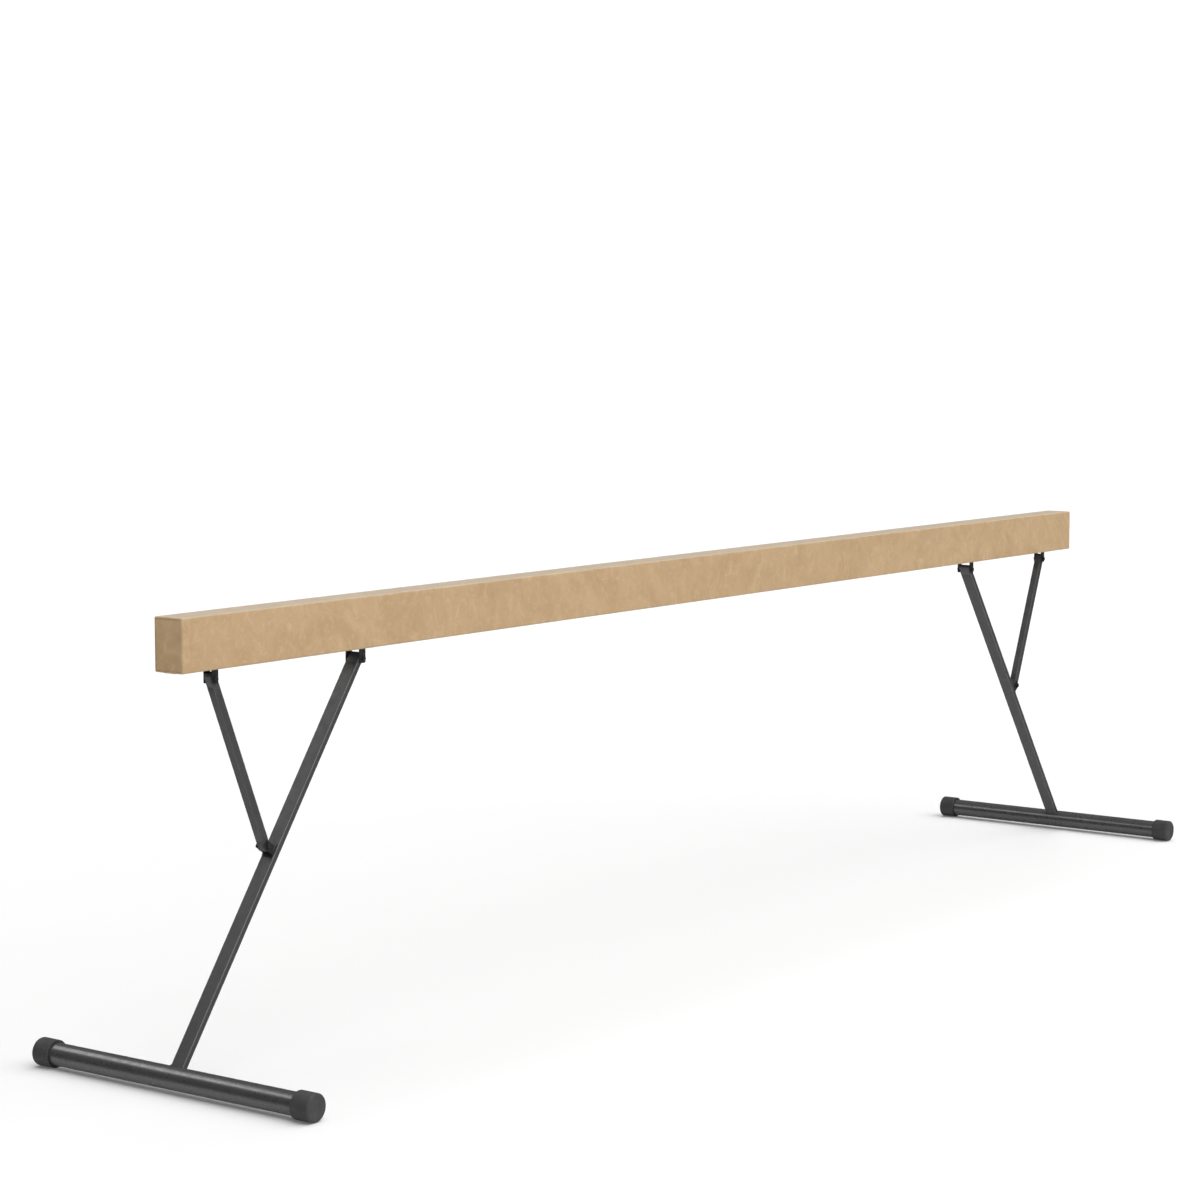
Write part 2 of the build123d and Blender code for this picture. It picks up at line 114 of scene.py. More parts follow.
# End panels: gap to the sleeve, corners, seat on the foam, and the dome, as steps in from the edge
# and back from the beam's end
PANEL_GAP = 0.0003
PANEL_CORNER = 0.003
PANEL_LEAST_CORNER = 0.001
PANEL_CORNER_STEPS = 5
PANEL_SEAT = 0.0004
PANEL_DOME = (
    (0.0, 0.0021), (0.0, 0.0011), (0.0005, 0.0007), (0.0016, 0.00045), (0.005, 0.0003),
    (0.012, 0.0002), (0.024, 0.0001), (0.036, 0.00005), (0.044, 0.0),
)

# Stitches: their line, how many fit a short and a long side, and one stitch as its radius at
# shares of its half length
STITCH_INSET = 0.0032
STITCH_CORNER = 0.003
STITCH_CUTS = (20, 30)
STITCH_SINK = 0.00035
STITCH_HALF = 0.36
STITCH_SIDES = 8
STITCH_SHAPE = (
    (0.00005, -1.0), (0.00022, -0.9), (0.00032, -0.5), (0.00034, 0.0),
    (0.00032, 0.5), (0.00022, 0.9), (0.00005, 1.0),
)

# Foam pads: eased edges, smaller on thin pads, and a little play round them
PAD_EASE = 0.0015
THIN_PAD = 0.006
THIN_PAD_EASE = 0.0008
PAD_EASE_MIDDLE = 0.3
PAD_PLAY = 0.0001
PAD_CORNER_STEPS = 4

# Closing tape: play above it, its hem as steps in from the edge and up from below, and its sag
TAPE_STEP = 0.02
TAPE_PLAY = 0.0002
TAPE_HEM = ((0.0, 0.0004), (0.001, 0.0001), (0.004, 0.0004))
TAPE_BELLY = 0.0005
TAPE_SAG = 0.00015
TAPE_WAVES = 9.0
TAPE_NOISE_ROW = 3.1
TAPE_END_LIFT = 0.0003

# Legs and braces: section, end fittings, the groove where a tube meets its fitting, and the
# saddle's length on the floor tube
LEG_DEPTH = 0.018
LEG_CORNER = 0.003
LEG_CUTS = (9, 4)
LEG_STATIONS = 24
# How strongly the leg's rounded corners are painted lighter, as rubbed paint and painted highlight
LEG_WEAR_AND_HIGHLIGHT = 1.0
SADDLE_RUN = 0.01
BRACE_CORNER = 0.0025
BRACE_CUTS = (5, 5)
BRACE_STATIONS = 12
# How strongly the brace's rounded corners are painted lighter, as rubbed paint and painted highlight
BRACE_WEAR_AND_HIGHLIGHT = 0.45
FITTING_BODY = 0.020
JOINT_GROOVE = 0.0004
GROOVE_RUN = 0.0006

# Weld beads: path points per ripple, unevenness, and for each bead its radius, its ripple and how
# far its middle lies off the faces that it joins
BEAD_SIDES = 10
BEAD_CORNER_STEPS = 8
RIPPLE_POINTS = 5
BEAD_UNEVEN = 0.08
BEAD_UNEVEN_SCALE = 130.0
BEAD_LEAN = 0.01
FOOT_BEAD_R = 0.0021
FOOT_BEAD_RIPPLE = 0.10
FOOT_BEAD_OFF_LEG = 0.0006
FOOT_BEAD_OFF_TUBE = 0.0004
FOOT_BEAD_CUTS = (56, 18)
CLEVIS_BEAD_R = 0.0014
CLEVIS_BEAD_RIPPLE = 0.12
CLEVIS_BEAD_OFF = 0.0005
CLEVIS_BEAD_CUTS = (42, 64)
CLEVIS_BEAD_CORNER = 0.0045
CLEVIS_PLATE = 0.036

# Floor tubes: wall, eased edge and stations
TUBE_WALL = 0.003
TUBE_EASE = 0.0005
TUBE_STATIONS = 20

# Rubber caps: rounded edge, rim, play on the tube, dished end (shares of its flat and depths), mould
# line (place along the cap, depth, half width and fade) and mouth (steps out from the bore and in)
CAP_EDGE = 0.006
CAP_RIM = 0.0018
CAP_END_WALL = 0.005
CAP_PLAY = 0.00005
CAP_DISH = 0.0003
CAP_DISH_STEPS = ((0.35, 0.00025), (0.7, 0.0001), (0.92, 0.0))
MOULD_LINE = 0.55
MOULD_DEPTH = 0.00015
MOULD_HALF = 0.0003
MOULD_FADE = 0.0012
CAP_MOUTH = ((0.0012, 0.0), (0.0003, 0.0004), (0.0, 0.0015))

# M8 bolts, nuts and washers. The bevels start at shares of the distance from middle to flat.
BOLT_R = 0.004
BOLT_TAIL = 0.001
BOLT_POINT = 0.0009
BOLT_THREAD = 0.018
THREAD_RUNOUT = 0.001
THREAD_PITCH = 0.00125
THREAD_DEPTH = 0.0006
THREAD_ROOT = 0.45
THREAD_CREST = 0.9
BOLT_STEPS = 48
HEAD_HEIGHT = 0.0053
NUT_HEIGHT = 0.004
HEX_FLATS = 0.013
HEX_BEVEL = 0.95
HEX_SLOPE = math.tan(math.radians(30))
HEAD_FACE = 0.97
HEAD_FACE_HEIGHT = 0.0004
HEAD_CROWN = 0.6
HEAD_CROWN_HEIGHT = 0.00005
NUT_COUNTERSINK = 0.0007
WASHER_R = 0.0075
WASHER_BORE_R = 0.00425
WASHER_THICK = 0.001
WASHER_ROUND = 0.0003
WASHER_HALF_ROUND = 0.0001
WASHER_STEPS = 64

PADS = ("top_foam", "front_foam", "back_foam", "left_end_foam", "right_end_foam")
BOARDS = (
    "core_centre_plank", "core_front_plank", "core_back_plank", "left_end_board", "right_end_board",
)
ACROSS = Vector((0, 1, 0))
JOINTS = {joint["name"]: joint for joint in frame["joints"]}
SIDES = (("left", -1), ("right", 1))


# ---------------------------------------------------------------- node helpers


class Shader:
    """A node material under construction."""

    def __init__(self, name):
        self.material = bpy.data.materials.new(name)
        self.material.use_nodes = True
        self.tree = self.material.node_tree
        self.surface = self.tree.nodes["Principled BSDF"]
        self.place = self.node("ShaderNodeTexCoord").outputs["Object"]

    def node(self, kind):
        return self.tree.nodes.new(kind)

    def link(self, out, into):
        self.tree.links.new(out, into)

    def stretched(self, x, y, z):
        """Object coordinates multiplied along each axis."""
        mapping = self.node("ShaderNodeMapping")
        mapping.inputs["Scale"].default_value = (x, y, z)
        self.link(self.place, mapping.inputs["Vector"])
        return mapping.outputs["Vector"]

    def noise(self, scale, detail=4.0, rough=0.55, place=None, warp=0.0):
        """Cloudy pattern, 0 to 1."""
        node = self.node("ShaderNodeTexNoise")
        node.inputs["Scale"].default_value = scale
        node.inputs["Detail"].default_value = detail
        node.inputs["Roughness"].default_value = rough
        node.inputs["Distortion"].default_value = warp
        self.link(place or self.place, node.inputs["Vector"])
        return node.outputs["Fac"]

    def cells(self, scale):
        """Distance to the nearest of a scatter of points."""
        node = self.node("ShaderNodeTexVoronoi")
        node.inputs["Scale"].default_value = scale
        self.link(self.place, node.inputs["Vector"])
        return node.outputs["Distance"]

    def ramp(self, value, low, high, out_low=0.0, out_high=1.0):
        """value from low..high to out_low..out_high, clamped."""
        node = self.node("ShaderNodeMapRange")
        node.inputs["From Min"].default_value = low
        node.inputs["From Max"].default_value = high
        node.inputs["To Min"].default_value = out_low
        node.inputs["To Max"].default_value = out_high
        self.link(value, node.inputs["Value"])
        return node.outputs["Result"]

    def mix(self, share, first, second):
        """Colour mix. first and second are colours or sockets."""
        node = self.node("ShaderNodeMix")
        node.data_type = "RGBA"
        self.link(share, node.inputs["Factor"])
        for key, value in (("A", first), ("B", second)):
            socket = [s for s in node.inputs if s.name == key and s.type == "RGBA"][0]
            if isinstance(value, tuple):
                socket.default_value = (*value, 1.0)
            else:
                self.link(value, socket)
        return [s for s in node.outputs if s.type == "RGBA"][0]

    def times(self, first, second):
        """Product. first and second are numbers or sockets."""
        node = self.node("ShaderNodeMath")
        node.operation = "MULTIPLY"
        for socket, value in zip(node.inputs, (first, second)):
            if isinstance(value, (int, float)):
                socket.default_value = value
            else:
                self.link(value, socket)
        return node.outputs["Value"]

    def bump(self, height, distance, strength=1.0, under=None):
        """Normal of a surface raised by height, over the normal under if there is one."""
        node = self.node("ShaderNodeBump")
        node.inputs["Distance"].default_value = distance
        node.inputs["Strength"].default_value = strength
        self.link(height, node.inputs["Height"])
        if under is not None:
            self.link(under, node.inputs["Normal"])
        return node.outputs["Normal"]

    def done(self, color, roughness, normal=None, **constants):
        """Link colour, roughness and normal, and set the surface's constants."""
        self.link(color, self.surface.inputs["Base Color"])
        self.link(roughness, self.surface.inputs["Roughness"])
        if normal is not None:
            self.link(normal, self.surface.inputs["Normal"])
        for key, value in constants.items():
            self.surface.inputs[key.replace("_", " ")].default_value = value
        return self.material


# ---------------------------------------------------------------- materials


def suede_material():
    """Brushed synthetic suede: cloudy nap, scuffs, specks and fibres, chalk dust and painted sheen on top, painted
    shade below.
    """
    s = Shader("suede")
    clouds = s.noise(8.0, 5.0, 0.6, warp=0.9)
    blotches = s.noise(1.0, 4.0, 0.62, place=s.stretched(22.0, 19.0, 15.0), warp=2.2)
    scuffs = s.noise(1.0, 5.0, 0.7, place=s.stretched(30.0, 34.0, 40.0), warp=3.0)
    nap = s.noise(150.0, 3.0, 0.65)
    color = s.mix(s.ramp(clouds, 0.34, 0.68), (0.478, 0.312, 0.157), (0.556, 0.380, 0.205))
    color = s.mix(s.ramp(blotches, 0.50, 0.70, 0.0, 0.6), color, (0.615, 0.440, 0.258))
    color = s.mix(s.ramp(blotches, 0.42, 0.26, 0.0, 0.45), color, (0.415, 0.268, 0.134))
    color = s.mix(s.ramp(scuffs, 0.60, 0.66, 0.0, 0.30), color, (0.680, 0.515, 0.330))
    color = s.mix(s.ramp(nap, 0.35, 0.70, 0.0, 0.20), color, (0.400, 0.262, 0.135))
    specks = s.ramp(s.cells(170.0), 0.05, 0.13, 1.0, 0.0)
    patchy = s.ramp(s.noise(34.0, 2.0), 0.52, 0.62)
    color = s.mix(s.times(s.times(specks, patchy), 0.6), color, (0.24, 0.15, 0.075))
    facing = s.node("ShaderNodeSeparateXYZ")
    s.link(s.node("ShaderNodeNewGeometry").outputs["Normal"], facing.inputs["Vector"])
    # Chalk dust and painted sheen: faces that look up are painted paler, in blotches.
    upward = s.ramp(facing.outputs["Z"], 0.45, 0.95)
    chalk_and_sheen = s.times(upward, s.ramp(blotches, 0.30, 0.70, 0.45, 0.80))
    color = s.mix(chalk_and_sheen, color, (0.560, 0.500, 0.410))
    # Painted shade: faces that look down are painted darker.
    painted_shade_below = s.ramp(facing.outputs["Z"], -0.15, -0.75, 0.0, 0.55)
    color = s.mix(painted_shade_below, color, (0.300, 0.225, 0.150))
    roughness = s.ramp(blotches, 0.3, 0.7, 0.72, 0.84)
    grain = s.bump(s.noise(1400.0, 3.0, 0.7), 0.00025, 0.55)
    normal = s.bump(blotches, 0.0012, 0.3, under=grain)
    return s.done(
        color,
        roughness,
        normal,
        Specular_IOR_Level=0.5,
        Sheen_Weight=0.22,
        Sheen_Roughness=0.35,
        Sheen_Tint=(1.0, 0.95, 0.92, 1.0),
    )


def foam_material():
    """Closed-cell foam sheet."""
    s = Shader("foam")
    cells = s.cells(900.0)
    color = s.mix(s.ramp(cells, 0.1, 0.7), (0.70, 0.69, 0.64), (0.80, 0.79, 0.75))
    return s.done(color, s.ramp(cells, 0.0, 0.8, 0.85, 0.95), s.bump(cells, 0.0003, 0.5))


def timber_material():
    """Planed softwood with grain along the beam."""
    s = Shader("timber")
    rings = s.noise(1.0, 6.0, 0.6, place=s.stretched(3.0, 90.0, 90.0), warp=0.8)
    pores = s.noise(1.0, 2.0, 0.5, place=s.stretched(30.0, 900.0, 900.0))
    color = s.mix(s.ramp(rings, 0.35, 0.65), (0.52, 0.35, 0.19), (0.70, 0.52, 0.32))
    color = s.mix(s.ramp(pores, 0.60, 0.75, 0.0, 0.5), color, (0.36, 0.23, 0.12))
    return s.done(color, s.ramp(rings, 0.3, 0.7, 0.55, 0.7), s.bump(pores, 0.0002, 0.4))


def strip_material():
    """Woven tape: cells as fine as its threads, and slow changes of tone."""
    s = Shader("closing_strip")
    threads = s.cells(700.0)
    color = s.mix(s.ramp(threads, 0.1, 0.8), (0.40, 0.29, 0.17), (0.29, 0.20, 0.115))
    tone = s.ramp(s.noise(18.0), 0.35, 0.65, 0.0, 0.3)
    color = s.mix(tone, color, (0.34, 0.25, 0.15))
    roughness = s.ramp(threads, 0.0, 0.8, 0.8, 0.92)
    return s.done(color, roughness, s.bump(threads, 0.0004, 0.7))


def paint_material(name, dark, light, rough_low, rough_high, specular=0.5, flecks=0.6, peel=0.6):
    """Powder-coated steel: uneven gloss, light flecks, fine orange peel, and rounded corners painted lighter, as
    rubbed paint and as a painted highlight.
    """
    s = Shader(name)
    cloud = s.noise(16.0, 5.0, 0.6)
    speckle = s.ramp(s.noise(420.0, 3.0, 0.65), 0.56, 0.74, 0.0, flecks)
    color = s.mix(s.ramp(cloud, 0.35, 0.68), dark, light)
    color = s.mix(speckle, color, tuple(2.2 * c for c in light))
    # Rounded corners painted lighter: partly rubbed paint, partly a painted highlight along the crease.
    wear_and_highlight = s.node("ShaderNodeAttribute")
    wear_and_highlight.attribute_name = "wear_and_highlight"
    rubbed_and_highlit = s.ramp(s.noise(85.0, 4.0, 0.7), 0.30, 0.55, 0.35, 0.95)
    color = s.mix(s.times(wear_and_highlight.outputs["Fac"], rubbed_and_highlit), color, (0.20, 0.20, 0.20))
    roughness = s.ramp(s.noise(55.0, 4.0, 0.6), 0.35, 0.65, rough_low, rough_high)
    texture = s.bump(s.noise(650.0, 2.0, 0.5), 0.00015, peel)
    return s.done(color, roughness, texture, Specular_IOR_Level=specular)


def rubber_material():
    """Moulded matt rubber with a fine sandblasted grain and a little dust."""
    s = Shader("rubber_cap")
    dust = s.noise(40.0, 5.0, 0.65)
    grain = s.noise(1100.0, 3.0, 0.6)
    color = s.mix(s.ramp(dust, 0.4, 0.72), (0.042, 0.042, 0.044), (0.066, 0.065, 0.066))
    color = s.mix(s.ramp(grain, 0.62, 0.78, 0.0, 0.3), color, (0.13, 0.128, 0.125))
    roughness = s.ramp(dust, 0.3, 0.7, 0.62, 0.78)
    return s.done(color, roughness, s.bump(grain, 0.0002, 0.55), Specular_IOR_Level=0.4)


def fastener_material():
    """Black oxide steel with bright rubs."""
    s = Shader("fastener")
    rub = s.noise(320.0, 4.0, 0.65)
    color = s.mix(s.ramp(rub, 0.50, 0.74), (0.030, 0.030, 0.032), (0.11, 0.108, 0.105))
    roughness = s.ramp(rub, 0.3, 0.7, 0.34, 0.55)
    texture = s.bump(rub, 0.0001, 0.4)
    return s.done(color, roughness, texture, Metallic=0.55, Specular_IOR_Level=0.5)


def bush_material():
    """Sintered bronze."""
    s = Shader("bush")
    pores = s.noise(1500.0, 3.0, 0.6)
    color = s.mix(s.ramp(pores, 0.35, 0.65), (0.60, 0.40, 0.18), (0.78, 0.57, 0.30))
    roughness = s.ramp(pores, 0.3, 0.7, 0.35, 0.5)
    return s.done(color, roughness, s.bump(pores, 0.0001, 0.4), Metallic=1.0)


def thread_material():
    """Sewing thread, twisted."""
    s = Shader("stitching")
    twist = s.noise(2600.0, 2.0, 0.5)
    color = s.mix(s.ramp(twist, 0.35, 0.65), (0.37, 0.25, 0.135), (0.52, 0.37, 0.21))
    return s.done(color, s.ramp(twist, 0.3, 0.7, 0.7, 0.85), s.bump(twist, 0.0002, 0.5))


def floor_material():
    """Pale, matt studio floor, a touch lighter towards its far edges. Gloss sees it only close by."""
    s = Shader("studio_floor")
    radius = s.node("ShaderNodeVectorMath")
    radius.operation = "LENGTH"
    s.link(s.place, radius.inputs[0])
    away = s.ramp(radius.outputs["Value"], 2.5, 9.0)
    tone = s.ramp(s.noise(0.8, 3.0, 0.5), 0.3, 0.7, 0.0, 0.15)
    color = s.mix(away, (0.79, 0.79, 0.79), (0.87, 0.87, 0.87))
    color = s.mix(tone, color, (0.83, 0.83, 0.83))
    s.done(
        color,
        s.ramp(tone, 0.0, 0.15, 0.85, 0.9),
        Specular_IOR_Level=0.1,
        Emission_Color=(1.0, 1.0, 1.0, 1.0),
        Emission_Strength=FLOOR_GLOW,
    )
    rays = s.node("ShaderNodeLightPath")
    far = s.ramp(rays.outputs["Ray Length"], *GLOSS_REACH)
    pick = s.node("ShaderNodeMixShader")
    s.link(s.times(rays.outputs["Is Glossy Ray"], far), pick.inputs["Fac"])
    s.link(s.surface.outputs["BSDF"], pick.inputs[1])
    s.link(s.node("ShaderNodeBsdfTransparent").outputs["BSDF"], pick.inputs[2])
    s.link(pick.outputs["Shader"], s.tree.nodes["Material Output"].inputs["Surface"])
    return s.material


SUEDE = suede_material()
FOAM = foam_material()
TIMBER = timber_material()
STRIP = strip_material()
TUBE_PAINT = paint_material(
    "tube_steel", (0.044, 0.044, 0.045), (0.054, 0.054, 0.055), 0.42, 0.54
)
BRACKET_PAINT = paint_material(
    "bracket_steel", (0.010, 0.010, 0.011), (0.018, 0.018, 0.019), 0.42, 0.55
)
FLOOR_PAINT = paint_material(
    "floor_tube_steel", (0.042, 0.042, 0.043), (0.052, 0.052, 0.053), 0.26, 0.34,
    specular=0.95, flecks=0.15, peel=0.2,
)
RUBBER = rubber_material()
FASTENER = fastener_material()
BUSH = bush_material()
THREAD = thread_material()
FLOOR = floor_material()

SLOT_MATERIALS = {
    "suede": SUEDE,
    "timber": TIMBER,
    "foam": FOAM,
    "closing_strip": STRIP,
    "tube_steel": TUBE_PAINT,
    "bracket_steel": BRACKET_PAINT,
    "floor_tube_steel": FLOOR_PAINT,
    "fastener": FASTENER,
    "bush": BUSH,
    "rubber_cap": RUBBER,
}


def dress_cad_nodes():
    """Give every CAD node the finish of its material slot."""
    for part in frame["record"]["subparts"]:
        node = frame["nodes"][part["node"]]
        node.data.materials.clear()
        node.data.materials.append(SLOT_MATERIALS[part["material_slot"]])


# ---------------------------------------------------------------- mesh helpers


def closed_mesh(name, verts, faces, wear_and_highlight=None):
    """A mesh without doubled points, its normals outward. The last argument holds each vertex's share of rubbed
    paint and painted corner highlight, 0 to 1.
    """
    mesh = bpy.data.meshes.new(name)
    mesh.from_pydata([tuple(v) for v in verts], [], faces)
    if wear_and_highlight:
        mesh.attributes.new("wear_and_highlight", "FLOAT", "POINT").data.foreach_set("value", wear_and_highlight)
    bm = bmesh.new()
    bm.from_mesh(mesh)
    bmesh.ops.remove_doubles(bm, verts=bm.verts, dist=MERGE)
    bmesh.ops.recalc_face_normals(bm, faces=bm.faces)
    bm.to_mesh(mesh)
    bm.free()
    return mesh


def place_piece(name, mesh, material, body, replaced, crease):
    """A mesh as a shaded object in the shared frame that rides on a body."""
    mesh.shade_smooth()
    mesh.set_sharp_from_angle(angle=math.radians(crease))
    mesh.materials.append(material)
    piece = bpy.data.objects.new(name, mesh)
    bpy.context.scene.collection.objects.link(piece)
    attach(piece, body)
    if replaced:
        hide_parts(*replaced)
    return piece


def add_piece(name, verts, faces, material, body, slot, replaced=(), crease=35.0, wear_and_highlight=None):
    """A piece from its vertices and faces."""
    mesh = closed_mesh(name, verts, faces, wear_and_highlight)
    return place_piece(name, mesh, material, body, replaced, crease)


def skin(rings, cyclic=False):
    """Vertices and faces of a closed surface through rings with the same number of points."""
    count = len(rings[0])
    verts = [point for ring in rings for point in ring]
    faces = []
    for i in range(len(rings) if cyclic else len(rings) - 1):
        here = i * count
        there = (i + 1) % len(rings) * count
        for j in range(count):
            k = (j + 1) % count
            faces.append((here + j, here + k, there + k, there + j))
    if not cyclic:
        faces.append(tuple(range(count - 1, -1, -1)))
        last = (len(rings) - 1) * count
        faces.append(tuple(range(last, last + count)))
    return verts, faces


def joined(parts):
    """Several (vertices, faces) as one."""
    verts, faces = [], []
    for more_verts, more_faces in parts:
        start = len(verts)
        verts += more_verts
        faces += [tuple(i + start for i in face) for face in more_faces]
    return verts, faces


def arc(centre, radius, start, end, steps):
    """Points of a circular arc from start to end in degrees, as (u, v)."""
    angles = [math.radians(start + (end - start) * i / steps) for i in range(steps + 1)]
    return [(centre[0] + radius * math.cos(a), centre[1] + radius * math.sin(a)) for a in angles]


def rounded_rect(width, depth, radius, arc_steps=CORNER_STEPS, cuts=(1, 1)):
    """Closed outline of a rounded rectangle, with its straight sides cut as often as cuts says."""
    u, v = width / 2 - radius, depth / 2 - radius
    corners = ((u, v, 0), (-u, v, 90), (-u, -v, 180), (u, -v, 270))
    arcs = [arc((x, y), radius, turn, turn + 90, arc_steps) for x, y, turn in corners]
    points = []
    for i, bend in enumerate(arcs):
        points += bend
        here, there = bend[-1], arcs[(i + 1) % 4][0]
        for j in range(1, cuts[i % 2]):
            share = j / cuts[i % 2]
            points.append(tuple(a + share * (b - a) for a, b in zip(here, there)))
    return points


class Member:
    """Where a leg or brace runs, and its directions: along it and square to its outer face."""

    def __init__(self, origin, target, side):
        self.origin = Vector(origin)
        self.along = (Vector(target) - self.origin).normalized()
        self.length = (Vector(target) - self.origin).length
        self.outward = Vector((-side * self.along.z, 0, side * self.along.x))

    def at(self, along, outward, across):
        """Point at distances along the member, out of its middle plane and across the beam."""
        return self.origin + self.along * along + self.outward * outward + ACROSS * across


def lathe(profile, centre, axis, steps, cyclic=False):
    """Surface of revolution. profile holds (radius, distance along the axis)."""
    axis = Vector(axis)
    first = axis.orthogonal().normalized()
    second = axis.cross(first)
    rings = []
    for radius, along in profile:
        ring = []
        for i in range(steps):
            angle = 2 * math.pi * i / steps
            spoke = first * math.cos(angle) + second * math.sin(angle)
            ring.append(Vector(centre) + axis * along + spoke * radius)
        rings.append(ring)
    return skin(rings, cyclic)


def make_eased(node, material, body, ease=EDGE_EASE):
    """A CAD node's shape with its sharp edges rounded off, as paint and tumbling leave them."""
    bm = bmesh.new()
    bm.from_mesh(frame["nodes"][node].data)
    bmesh.ops.remove_doubles(bm, verts=bm.verts, dist=MERGE)
    bmesh.ops.dissolve_limit(bm, angle_limit=FLAT_ANGLE, verts=bm.verts, edges=bm.edges)
    sharp = [edge for edge in bm.edges if edge.is_manifold and edge.calc_face_angle(0.0) > SHARP_ANGLE]
    bmesh.ops.bevel(
        bm, geom=sharp, offset=ease, offset_type="OFFSET", segments=EASE_SEGMENTS, profile=0.5,
        affect="EDGES", clamp_overlap=True,
    )
    bmesh.ops.triangulate(bm, faces=[face for face in bm.faces if len(face.verts) > 4])
    mesh = bpy.data.meshes.new(f"{node}_eased")
    bm.to_mesh(mesh)
    bm.free()
    place_piece(f"{node}_eased", mesh, material, body, [node], EASED_CREASE)


def tube_radius(name):
    """Outer radius of an end's floor tube."""
    low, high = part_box(f"{name}_floor_tube")
    return (high.z - low.z) / 2


def bolt_middle(node):
    """Point on a crosswise bolt's axis, in the middle of the beam."""
    low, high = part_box(node)
    return Vector(((low.x + high.x) / 2, 0, (low.z + high.z) / 2))


def cut_out(piece, cutters):
    """Cut closed meshes out of a piece and drop them."""
    for cutter in cutters:
        cut = piece.modifiers.new("cut", "BOOLEAN")
        cut.operation = "DIFFERENCE"
        cut.solver = "EXACT"
        cut.object = cutter
    bpy.context.view_layer.update()
    depsgraph = bpy.context.evaluated_depsgraph_get()
    mesh = bpy.data.meshes.new_from_object(piece.evaluated_get(depsgraph))
    piece.modifiers.clear()
    piece.data = mesh
    for cutter in cutters:
        bpy.data.objects.remove(cutter)


# ---------------------------------------------------------------- padded beam

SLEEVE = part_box("cover_sleeve")
BEAM_WIDTH = SLEEVE[1].y - SLEEVE[0].y
BEAM_DEPTH = SLEEVE[1].z - SLEEVE[0].z
BEAM_MIDDLE_Z = (SLEEVE[0].z + SLEEVE[1].z) / 2
BEAM_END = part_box("right_end_cover")[1].x
BEAM_STEP = 0.0125
SKIN_CUTS = (10, 15)

# Give of the suede over its foam: its depth, the shares of it that are even, in slow waves and in
# quick ones, the waves' pace along and across the beam, and how it fades out towards an edge
SOFTNESS = 0.0005
SOFT_SHARES = (0.75, 0.45, 0.25)
SLOW_WAVES = (2.3, 9.0)
QUICK_WAVES = (11.0, 24.0)
QUICK_SHIFT = 40.0
FACE_BAND = 0.003
EDGE_FADE = 8


def soft_dip(x, y, z):
    """How far the suede lies below its outline: slow waves of the foam under it."""
    along, across = SLOW_WAVES
    slow = noise.noise(Vector((x * along, y * across, z * across)))
    along, across = QUICK_WAVES
    quick = noise.noise(Vector((x * along + QUICK_SHIFT, y * across, z * across)))
    even_share, slow_share, quick_share = SOFT_SHARES
    return SOFTNESS * (even_share + slow_share * slow + quick_share * quick)


def beam_ring(x, inset, soft):
    """Outline of the beam at x, pulled in by inset and by the cover's softness."""
    width, depth = BEAM_WIDTH - 2 * inset, BEAM_DEPTH - 2 * inset
    corner = BEAM_CORNER - min(inset, CORNER_LOSS)
    ring = []
    for y, z in rounded_rect(width, depth, corner, cuts=SKIN_CUTS):
        place = Vector((x, y, BEAM_MIDDLE_Z + z))
        if soft:
            dip = soft_dip(x, y, z)
            if abs(z) > BEAM_DEPTH / 2 - FACE_BAND:
                fade = max(0.0, 1.0 - (abs(y) / (BEAM_WIDTH / 2)) ** EDGE_FADE)
                place.z -= math.copysign(dip * fade, z)
            elif abs(y) > BEAM_WIDTH / 2 - FACE_BAND:
                fade = max(0.0, 1.0 - (abs(z) / (BEAM_DEPTH / 2)) ** EDGE_FADE)
                place.y -= math.copysign(dip * fade, y)
        ring.append(place)
    return ring


def make_sleeve():
    """Suede sleeve: outer skin, turned over the end edges, and an inner skin."""
    angles = [math.radians(degrees) for degrees in TURN_STEPS]
    turn = [(END_TURN * (1 - math.cos(a)), END_TURN * (1 - math.sin(a))) for a in angles]
    run = 2 * BEAM_END - 2 * END_TURN
    stations = round(run / BEAM_STEP)
    lip = END_TURN + SLEEVE_LIP
    inner = COVER_THICK + SLEEVE_PLAY
    rings = [beam_ring(-BEAM_END + COVER_THICK, lip, False)]
    rings += [beam_ring(-BEAM_END + back, inset, False) for inset, back in reversed(turn[1:])]
    for i in range(stations + 1):
        rings.append(beam_ring(-BEAM_END + END_TURN + run * i / stations, 0.0, True))
    rings += [beam_ring(BEAM_END - back, inset, False) for inset, back in turn[1:]]
    rings.append(beam_ring(BEAM_END - COVER_THICK, lip, False))
    rings.append(beam_ring(BEAM_END - COVER_THICK, inner, False))
    rings.append(beam_ring(-BEAM_END + COVER_THICK, inner, False))
    sleeve = add_piece(
        "suede_sleeve", *skin(rings, cyclic=True), SUEDE, "beam", "suede", ["cover_sleeve"], crease=60.0
    )
    plates = [f"{name}_{kind}_bracket" for name, _ in SIDES for kind in ("leg", "brace")]
    cut_out(sleeve, [bracket_cutter(plate) for plate in plates])


def bracket_cutter(node):
    """Block that clears the suede round a bracket's plate."""
    low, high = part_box(node)
    size = high - low
    centre = (low + high) / 2
    outline = rounded_rect(size.x + 2 * CUTOUT_PLAY, size.y + 2 * CUTOUT_PLAY, CUTOUT_CORNER)
    rings = [
        [Vector((centre.x + u, centre.y + v, SLEEVE[0].z + rise)) for u, v in outline]
        for rise in (-CUTOUT_REACH, CUTOUT_REACH)
    ]
    cutter = bpy.data.objects.new(f"{node}_cutter", closed_mesh(f"{node}_cutter", *skin(rings)))
    bpy.context.scene.collection.objects.link(cutter)
    return cutter


